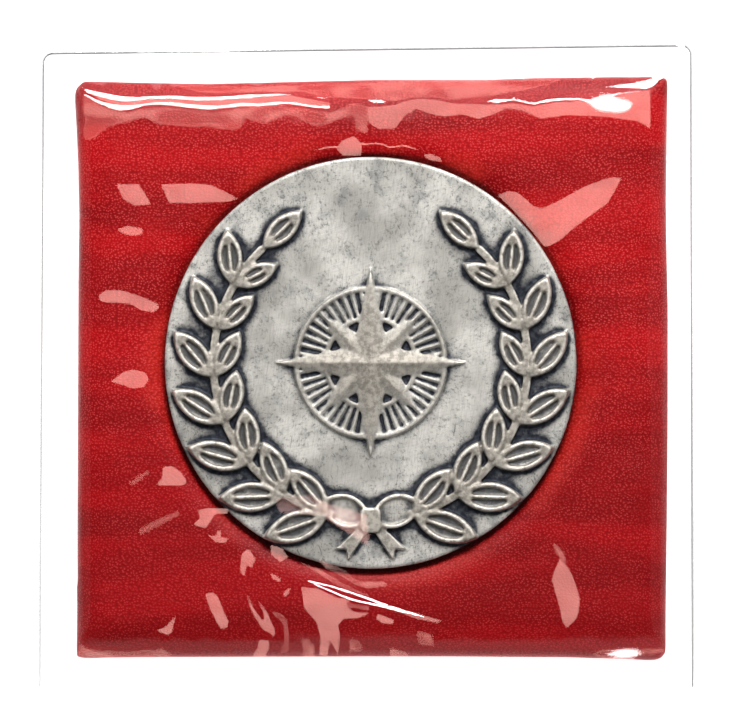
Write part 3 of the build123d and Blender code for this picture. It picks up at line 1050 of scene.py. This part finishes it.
bpy.ops.object.select_all(action="DESELECT")
bpy.ops.mesh.primitive_grid_add(x_subdivisions=columns, y_subdivisions=rows, size=2, location=(0, 0, 0))
sleeve = bpy.context.object
sleeve.name = "clear_sleeve"
grid = points_of(sleeve) * MM
x = np.interp((grid[:, 0] + 1) / 2 * columns_below[-1], columns_below, column_line)
y = np.interp((grid[:, 1] + 1) / 2 * rows_below[-1], rows_below, row_line)
corner_x = inner_half - WELD_CORNER
corner_y = grid_high - WELD_CORNER
in_corner = (np.abs(x) > corner_x) & (y > corner_y)
off_x = np.abs(x) - corner_x
off_y = y - corner_y
off = np.maximum(np.hypot(off_x, off_y), 1e-6)
pull = np.where(in_corner, np.maximum(off_x, off_y) / off, 1.0)
x = np.where(in_corner, np.sign(x) * (corner_x + off_x * pull), x)
y = np.where(in_corner, corner_y + off_y * pull, y)
z = film_plan.read(film_level, x, y)
lift_off = film_plan.read(blurred(pad_tops, 0.6), x, y) + TOUCH
z = np.where(np.isfinite(lift_off), np.maximum(z, np.minimum(lift_off, z + BUMP_LIMIT)), z)
move_points(sleeve, np.column_stack((x, y, np.maximum(z, rest_level))))
upper_count = len(grid)
shape_with(sleeve, "SOLIDIFY", thickness=FILM * MM, offset=1.0, use_even_offset=False)
lower = sleeve.vertex_groups.new(name="underside")
levels = points_of(sleeve)[:, 2]
first_is_lower = levels[:upper_count].mean() < levels[upper_count:].mean()
start = 0 if first_is_lower else upper_count
lower.add(list(range(start, start + upper_count)), 1.0, "REPLACE")
before = triangles(sleeve)
if before > FILM_TRIANGLES:
    shape_with(sleeve, "DECIMATE", ratio=FILM_TRIANGLES / before, vertex_group="underside")
print("front film", triangles(sleeve), "triangles")

# %% Sleeve: back film, welded rim and bead


def flat_sheet(name, half_x, low_y, high_y, low_z, high_z, corner):
    """A flat sheet with its two upper corners rounded, from a cube."""
    bpy.ops.object.select_all(action="DESELECT")
    bpy.ops.mesh.primitive_cube_add(size=1)
    sheet = bpy.context.object
    sheet.name = name
    sheet.scale = (2 * half_x * MM, (high_y - low_y) * MM, (high_z - low_z) * MM)
    sheet.location = (0, (low_y + high_y) / 2 * MM, (low_z + high_z) / 2 * MM)
    choose(sheet)
    bpy.ops.object.transform_apply(location=True, rotation=True, scale=True)
    bpy.ops.object.mode_set(mode="EDIT")
    bpy.ops.mesh.select_mode(type="EDGE")
    bpy.ops.mesh.select_all(action="DESELECT")
    bpy.ops.object.mode_set(mode="OBJECT")
    for edge in sheet.data.edges:
        one, two = (sheet.data.vertices[index].co for index in edge.vertices)
        upright = abs(one.z - two.z) > 0.5 * (high_z - low_z) * MM
        edge.select = upright and one.y > 0
    bpy.ops.object.mode_set(mode="EDIT")
    bpy.ops.mesh.bevel(offset=corner * MM, segments=10, affect="EDGES")
    bpy.ops.object.mode_set(mode="OBJECT")
    return sheet


BACK_INSET = 0.02
back = flat_sheet(
    "back_film", half_width - BACK_INSET, -half_length, half_length - BACK_INSET, 0.0, FILM, SHEET_CORNER
)


def rim_path(inset, corner):
    """Points along the three welded sides, from the lower left round to the lower right."""
    side = half_width - inset
    top = half_length - inset
    points = [(-side, -half_length)]
    for middle, start_angle in (((-side + corner, top - corner), 180), ((side - corner, top - corner), 90)):
        for step in range(11):
            angle = math.radians(start_angle - 9 * step)
            points.append((middle[0] + corner * math.cos(angle), middle[1] + corner * math.sin(angle)))
    points.append((side, -half_length))
    return points


def swept_strip(name, stations):
    """A strip along the welded sides. Each station of its section is an inset, a corner and a height."""
    rings = [[(px, py, height) for px, py in rim_path(inset, corner)] for inset, corner, height in stations]
    along = len(rings[0])
    vertices = [(px * MM, py * MM, pz * MM) for ring in rings for px, py, pz in ring]
    faces = []
    for place in range(len(rings)):
        here = place * along
        there = (place + 1) % len(rings) * along
        for step in range(along - 1):
            faces.append((here + step, here + step + 1, there + step + 1, there + step))
    faces.append([place * along for place in range(len(rings))])
    faces.append([place * along + along - 1 for place in reversed(range(len(rings)))])
    mesh = bpy.data.meshes.new(name)
    mesh.from_pydata(vertices, [], faces)
    strip = bpy.data.objects.new(name, mesh)
    bpy.context.scene.collection.objects.link(strip)
    choose(strip)
    bpy.ops.object.mode_set(mode="EDIT")
    bpy.ops.mesh.select_all(action="SELECT")
    bpy.ops.mesh.normals_make_consistent(inside=False)
    bpy.ops.object.mode_set(mode="OBJECT")
    return strip


# The rim's section from outside in: inset, corner and level in mm; the bead is the last four
RIM_STATIONS = (
    (0.0, 2.4, FILM + 0.01),
    (0.0, 2.4, 2 * FILM - 0.06),
    (0.06, 2.34, 2 * FILM),
    (0.2, 2.2, 2 * FILM),
    (0.62, 1.9, 2 * FILM - 0.02),
    (0.92, 1.62, 2 * FILM - 0.02),
    (0.98, 1.56, 2 * FILM + 0.06),
    (1.06, 1.48, 2 * FILM + 0.08),
    (1.14, 1.4, 2 * FILM + 0.05),
    (1.2, 1.34, FILM + 0.01),
)
BEAD_FROM = 0.95
BESIDE_BEAD_FROM = 0.9
OUTER_EDGE = 0.1
# How cloudy the weld is at its bead and beside it, on each side, and at the outer edge
TOP_WELD, BESIDE_TOP = 1.0, 0.5
UPPER_LEFT_WELD, LOWER_LEFT_WELD, BESIDE_LEFT = 0.82, 0.36, 0.04
RIGHT_WELD, BESIDE_RIGHT = 0.78, 0.1
OUTER_WELD = 0.12

rim = swept_strip("welded_rim", RIM_STATIONS)
keep_number(sleeve, "weld", np.zeros(len(sleeve.data.vertices)))
keep_number(sleeve, "shine", read_vertices(sleeve, "normal")[:, 2] > 0)
keep_number(back, "weld", np.zeros(len(back.data.vertices)))
keep_number(back, "shine", np.zeros(len(back.data.vertices)))
keep_number(rim, "shine", np.zeros(len(rim.data.vertices)))
rim_points = points_of(rim)
station = np.arange(len(rim_points)) * len(RIM_STATIONS) // len(rim_points)
inset = np.array([inset for inset, corner, height in RIM_STATIONS])[station]
on_top = (rim_points[:, 1] > half_length - 3.0) & (np.abs(rim_points[:, 0]) < half_width - 1.7)
is_left = rim_points[:, 0] < 0
left_weld = np.where(rim_points[:, 1] > 0, UPPER_LEFT_WELD, LOWER_LEFT_WELD)
at_bead = np.where(on_top, TOP_WELD, np.where(is_left, left_weld, RIGHT_WELD))
beside_bead = np.where(on_top, BESIDE_TOP, np.where(is_left, BESIDE_LEFT, BESIDE_RIGHT))
beside_bead = np.where((inset > BESIDE_BEAD_FROM) & (inset < BEAD_FROM), beside_bead, 0.0)
keep_number(rim, "weld", np.where(
    inset > BEAD_FROM, at_bead, np.where(inset < OUTER_EDGE, OUTER_WELD, beside_bead)))

# %% Sleeve: one piece, a little out of square, that knows its patches
# How the real sleeve strays from a square one: the top edge climbs, its sides and mouth reach out
TOP_SLOPE = 0.0125
LEFT_OUT = 0.6
RIGHT_OUT, LOWER_RIGHT_OUT = 0.2, 0.3
MOUTH_OUT = 0.45

choose(sleeve)
back.select_set(True)
rim.select_set(True)
bpy.ops.object.join()
bpy.ops.object.shade_smooth_by_angle(angle=math.radians(50))
film_points = points_of(sleeve)
film_points[:, 1] += TOP_SLOPE * film_points[:, 0] * eased((film_points[:, 1] - 46.0) / 7.0)
lower_left = eased((-film_points[:, 0] - 50.5) / 4.0) * eased((50.0 - film_points[:, 1]) / 100.0)
film_points[:, 0] -= LEFT_OUT * lower_left
lower_right = eased((20.0 - film_points[:, 1]) / 60.0)
right_out = RIGHT_OUT + LOWER_RIGHT_OUT * lower_right
film_points[:, 0] += eased((film_points[:, 0] - 50.5) / 4.0) * right_out
film_points[:, 1] -= MOUTH_OUT * eased((-film_points[:, 1] - 50.0) / 4.0)
move_points(sleeve, film_points)
for kind, patches in (("veil", VEILED), ("pink", PINK), ("glare", GLARING)):
    depth, haze, lean = patches_on(film_points, patches)
    keep_number(sleeve, kind, depth)
    if kind == "pink":
        keep_number(sleeve, "pink_haze", haze)
    layer = sleeve.data.attributes.new(kind + "_lean", "FLOAT_VECTOR", "POINT")
    layer.data.foreach_set("vector", lean.astype(np.float32).ravel())
print("sleeve", triangles(sleeve), "triangles;", round(100 * (depth > 0).mean(), 1), "% in glare")

# %% [markdown]
# Silvered metal that has been handled for years isn't one colour. It is bright and warm on
# the proud edges, grey and finely scratched on the flats, and blue-black in the corners that
# a cloth never reaches. The four numbers kept with the mesh say which is which. The fine
# scratches run nearly upright, as the medal was wiped, and a few cross them.

# %% Finish: darkened silver
silver = Finish("darkened_silver")
low_spot, halo, proud, raised = (silver.kept(name) for name in ("low_spot", "halo", "proud", "raised"))
# Each noise gets the size of its lumps in mm, its detail and its roughness
clouds = silver.noise(9.0, 2.0, 0.55)
smudge = silver.noise(3.4, 4.0, 0.7)
mottle = silver.noise(0.9, 2.0, 0.65)
speckle = silver.noise(0.42, 2.0, 0.7)
brush = silver.noise(0.22, 1.0, 0.6, silver.place((1, 9, 1), math.radians(-7)))
cross_brush = silver.noise(0.24, 1.0, 0.6, silver.place((12, 1, 1), math.radians(14)))
scratch = silver.noise(0.26, 0.0, 0.5, silver.place((1, 22, 1), math.radians(-9)))
cross_scratch = silver.noise(0.30, 0.0, 0.5, silver.place((1, 6, 1), math.radians(24)))
scratches = scratch.step(0.76, 0.84) * clouds.step(0.50, 0.56)
scratches = (scratches + cross_scratch.step(0.74, 0.82) * clouds.step(0.50, 0.42)).clamped()

from_middle = silver.vectors("DISTANCE", silver.place(), medal_middle, "Value")
near_edge = from_middle.step(0.020, 0.0345)
worn_off = silver.noise(2.0, 4.0, 0.65)

tarnish = halo * 0.9 + low_spot * 0.6 + (worn_off - 0.5) * 1.5 * (halo + low_spot + 0.06)
tarnish = tarnish.step(0.14, 0.80) * (1 - raised * 0.6)
smudges = smudge.step(0.46, 0.70) * (0.45 + near_edge * 0.35)
dots = speckle.step(0.53, 0.64) * (smudge.step(0.38, 0.60) * 0.75 + near_edge * 0.45 + halo).clamped()
polished = (proud * from_middle.step(0.0347, 0.0335)).step(0.40, 1.0) * mottle.step(0.85, 0.35)

# %% Finish: the silver's tones, from the flats up to the dark corners
flat_tone = silver.blend(clouds.step(0.35, 0.66), colour(180, 177, 170), colour(225, 222, 215))
relief_tone = silver.blend(mottle.step(0.36, 0.64), colour(190, 182, 170), colour(138, 131, 121))
dark_tone = silver.blend(mottle.step(0.35, 0.7), colour(28, 32, 42), colour(66, 69, 76))
silver_tone = silver.coats(
    flat_tone,
    (smudges, colour(138, 139, 138)),
    (brush.step(0.42, 0.75) * 0.25, colour(132, 130, 124)),
    (cross_brush.step(0.45, 0.78) * 0.22, colour(150, 150, 150)),
    (dots * 0.6, colour(88, 86, 82)),
    (scratches * 0.6, colour(70, 68, 68)),
    (raised * 0.8, relief_tone),
    (polished, colour(236, 231, 222)),
    (tarnish, dark_tone),
)
silver_rough = 0.58 + (brush - 0.5) * 0.2 + raised * 0.04
grooves = brush * 0.6 + speckle * 0.4
silver.surface({
    "Base Color": silver_tone,
    "Metallic": 0.75,
    "Roughness": silver_rough.clamped(),
    "Normal": silver.bump(grooves, 0.018),
})
medal.data.materials.append(silver.material)

# %% [markdown]
# Leatherette is cloth with a soft coat that is pressed with a grain: small round pebbles in
# wavy rows, with valleys between them that are darkened as painted shade. Cells from scattered
# points give the pebbles, and a slow noise pushes them out of line. The pattern is unfolded
# over the card's rounded edges, so that it doesn't stretch there. The coat is slightly glossy,
# and each pebble's crown is paler as a painted highlight. The lip of the pocket is paler as a
# painted pool of light, and the lower half is darker as painted shade.

# %% Finish: red leatherette
# Where the cover bends down at the card's edges, in metres from the middle, and the pebbles' size
FOLD_FROM, FOLD_TO = 0.041, 0.046
PEBBLE_MM = 0.50

leather = Finish("red_leatherette")
leather_parts = leather.node("ShaderNodeSeparateXYZ", {}, {0: leather.place()}).socket.node.outputs
across, along, up = (Wire(leather, leather_parts[axis]) for axis in "XYZ")
drop = pad_high.z - up
unfolded = [
    way + drop * (way.step(FOLD_FROM, FOLD_TO) - way.step(-FOLD_FROM, -FOLD_TO)) for way in (across, along)
]
here = leather.node("ShaderNodeCombineXYZ", {}, {0: unfolded[0] * 0.92, 1: unfolded[1] * 1.12})
push = leather.node("ShaderNodeTexNoise", {}, {"Vector": here, "Scale": 520.0, "Detail": 1.0}, output=1)
push = leather.vectors("SCALE", leather.vectors("SUBTRACT", push, (0.5, 0.5, 0.5)), 0.0006)
spot = leather.vectors("ADD", here, push)
pebble = leather.node(
    "ShaderNodeTexVoronoi",
    {"feature": "F1", "voronoi_dimensions": "2D"},
    {"Vector": spot, "Scale": 1000 / PEBBLE_MM, "Randomness": 0.85},
)
pores = leather.noise(0.25, 1.0, 0.6)
rows = leather.noise(1.5, 2.0, 0.6, leather.place((3.0, 1.0, 1.0)))
long_bands = leather.noise(6.5, 1.0, 0.5, leather.place((9.0, 1.0, 1.0)))
wear = leather.noise(14.0, 2.0, 0.6)
crown = pebble.step(0.36, 0.10)
valley = pebble.step(0.45, 0.75)
pocket_middle = (medal_middle.x, medal_middle.y, 0.0)
from_pocket = leather.vectors("DISTANCE", leather.from_above(), pocket_middle, "Value")
# Painted light: a paler ring on the pocket's lip where the cover curves, in patches
painted_lip_light = from_pocket.step(0.0405, 0.0365) * wear.step(0.44, 0.62)
# Painted shade: the cover is darker towards the bottom, as if the key's light fell off there
painted_lower_shade = along.step(0.02, -0.045)
# Painted highlights: the pebbles' crowns are paler, as if each caught the light, and less so over the painted
# shade of the lower half
painted_crown_highlight = crown * (0.32 + rows.step(0.64, 0.38) * 0.5) * (1 - painted_lower_shade * 0.5)

# %% Finish: the leatherette's tones
# Over the long bands come pale wear, the painted light on the pocket's lip, the painted
# shade over the lower half, the painted shade along the upper fold, the bright lower fold,
# the painted shade in the valleys and the painted highlights on the crowns
leather_tone = leather.coats(
    leather.blend(long_bands.step(0.34, 0.66), colour(180, 5, 13), colour(142, 0, 5)),
    (wear.step(0.5, 0.75) * 0.3, colour(192, 14, 20)),
    (painted_lip_light * 0.6, colour(208, 44, 34)),
    (painted_lower_shade * 0.4, colour(112, 0, 5)),
    # Painted shade: the upper fold is darkened
    (along.step(0.0445, 0.0475) * 0.5, colour(112, 0, 5)),
    (along.step(-0.0474, -0.0494) * 0.55, colour(214, 20, 26)),
    # Painted shade in the valleys between the pebbles
    (valley * 0.4, colour(116, 0, 5)),
    (painted_crown_highlight, colour(216, 70, 70)),
)
relief = crown * 0.6 - valley * 0.4 + pores * 0.10 + rows * 0.5
leather.surface({
    "Base Color": leather_tone,
    "Roughness": (0.44 + (pores - 0.5) * 0.2 + valley * 0.15).clamped(),
    "Normal": leather.bump(relief, 0.035),
    "Specular IOR Level": 0.16,
})
pad.data.materials.append(leather.material)

# %% [markdown]
# A clear film lets light through and mirrors a little of it, more at a grazing angle. So
# its finish is a mix of a clear shader and a bright mirror, and the share of the mirror
# follows the angle at which the film is seen: a little when seen from straight above, and
# all of it at the edge. A film has two faces that mirror alike, so the upper face carries
# both shares and the lower one is left clear. The welds are cloudy and take light away.
# Where a point lies in a patch, its mirror is turned to the patch's light: the veils turn
# the film itself, and the salmon patches and the glare each lie over it as a mirror of their
# own. The key is so bright that half a share of it is already white, so the glare's share is
# cubed to give it a soft edge. A few hairline creases glare as well.

# %% Finish: clear film
# The share that the film mirrors where it is seen from straight above
STRAIGHT_SHARE = 0.075
MIRROR_ROUGHNESS = 0.03
WELD_GREY = (0.10, 0.10, 0.105, 1)
# The edge of a hairline crease is soft over this many metres to each side
HAIRLINE_SOFTNESS = 0.05 * MM
# Hairline creases: two ends in the picture, each with half its breadth in pixels
HAIRLINES = (
    ((308.5, 581.0, 0.45), (332, 586.6, 0.65)),
    ((332, 586.6, 0.65), (357.4, 594.7, 0.65)),
    ((357.4, 594.7, 0.65), (386, 605.2, 1.0)),
    ((314, 584.0, 0.35), (351, 599.4, 0.65)),
    ((351, 599.4, 0.65), (388, 607.6, 0.9)),
    ((380, 605.0, 0.9), (396, 609.2, 1.5)),
    ((396, 609.2, 1.5), (424, 617, 0.3)),
)
film_finish = Finish("clear_film")
edge_on = film_finish.node("ShaderNodeLayerWeight", {}, {"Blend": 0.5}, output="Facing")
weld = film_finish.kept("weld")
veil = film_finish.kept("veil").step(-0.5, 0.5)
pink = film_finish.kept("pink").step(-0.5, 0.5)
glare = film_finish.kept("glare").step(-0.6, 0.6) ** 3


def past_line(finish, start, end):
    """How far a point lies outside a straight line whose breadth changes evenly, in metres."""
    (start_column, start_row, start_half), (end_column, end_row, end_half) = start, end
    begin = Vector((*photo_point(start_column, start_row), 0)) * MM
    run = Vector((*photo_point(end_column, end_row), 0)) * MM - begin
    from_start = finish.vectors("SUBTRACT", finish.from_above(), begin)
    share = (finish.vectors("DOT_PRODUCT", from_start, run, "Value") / run.length_squared).clamped()
    foot = finish.vectors("SCALE", run, share)
    away = finish.vectors("SUBTRACT", from_start, foot)
    distance = finish.vectors("LENGTH", away, output="Value")
    pixel = MM / PIXELS_PER_MM
    return distance - share * ((end_half - start_half) * pixel) - start_half * pixel


hairline = None
for start, end in HAIRLINES:
    past = past_line(film_finish, start, end)
    hairline = past if hairline is None else hairline.maths("MINIMUM", past)
glare = glare.maths("MAXIMUM", hairline.step(HAIRLINE_SOFTNESS, -HAIRLINE_SOFTNESS))

# %% Finish: the film's mirrors and its clear part
own_facing = film_finish.node("ShaderNodeNewGeometry", output="Normal")
facings = {0: veil, 4: own_facing, 5: film_finish.kept("veil_lean", "Vector")}
facing = film_finish.node("ShaderNodeMix", {"data_type": "VECTOR"}, facings, output=1)
facing = film_finish.vectors("NORMALIZE", facing)
clear_share = STRAIGHT_SHARE * (1 - film_finish.kept("pink_haze") * pink * (1 - glare))
mirror_share = clear_share + (1 - STRAIGHT_SHARE) * edge_on**5
mirror_share = mirror_share * film_finish.kept("shine") + weld * 0.75


def mirror(facing):
    """The bright mirror of the film, and the dull grey of its welds."""
    return film_finish.node("ShaderNodeBsdfPrincipled", {}, {
        "Base Color": film_finish.blend(weld, (1, 1, 1, 1), WELD_GREY),
        "Metallic": (1 - weld * 4).clamped(),
        "Roughness": (MIRROR_ROUGHNESS + weld * 0.6).clamped(),
        "Specular IOR Level": 0.0,
        "Normal": facing,
    })


gloss = mirror(facing)
for amount, name in ((pink, "pink_lean"), (glare, "glare_lean")):
    leaning = mirror(film_finish.kept(name, "Vector"))
    gloss = film_finish.node("ShaderNodeMixShader", {}, {0: amount, 1: gloss, 2: leaning})
clear = film_finish.node("ShaderNodeBsdfTransparent", {}, {"Color": (0.998, 0.998, 0.998, 1)})
film_shader = film_finish.node("ShaderNodeMixShader", {}, {0: mirror_share.clamped(), 1: clear, 2: gloss})
film_finish.finish_with(film_shader)
sleeve.data.materials.append(film_finish.material)

# %% [markdown]
# Each piece now takes the place of its imported solid. All of them ride on the one body,
# because nothing moves. The outer box of the looks is measured and printed beside the
# imported one.

# %% Taking the places of the imported solids
for piece, node in ((medal, "medal"), (pad, "pad"), (sleeve, "sleeve")):
    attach(piece, "root")
    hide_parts(node)
boxes = {"cad": [list(corner) for corner in cad_box], "visual": [list(corner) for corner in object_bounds()]}
for name, corners in boxes.items():
    print(name, [[round(value / MM, 2) for value in corner] for corner in corners])
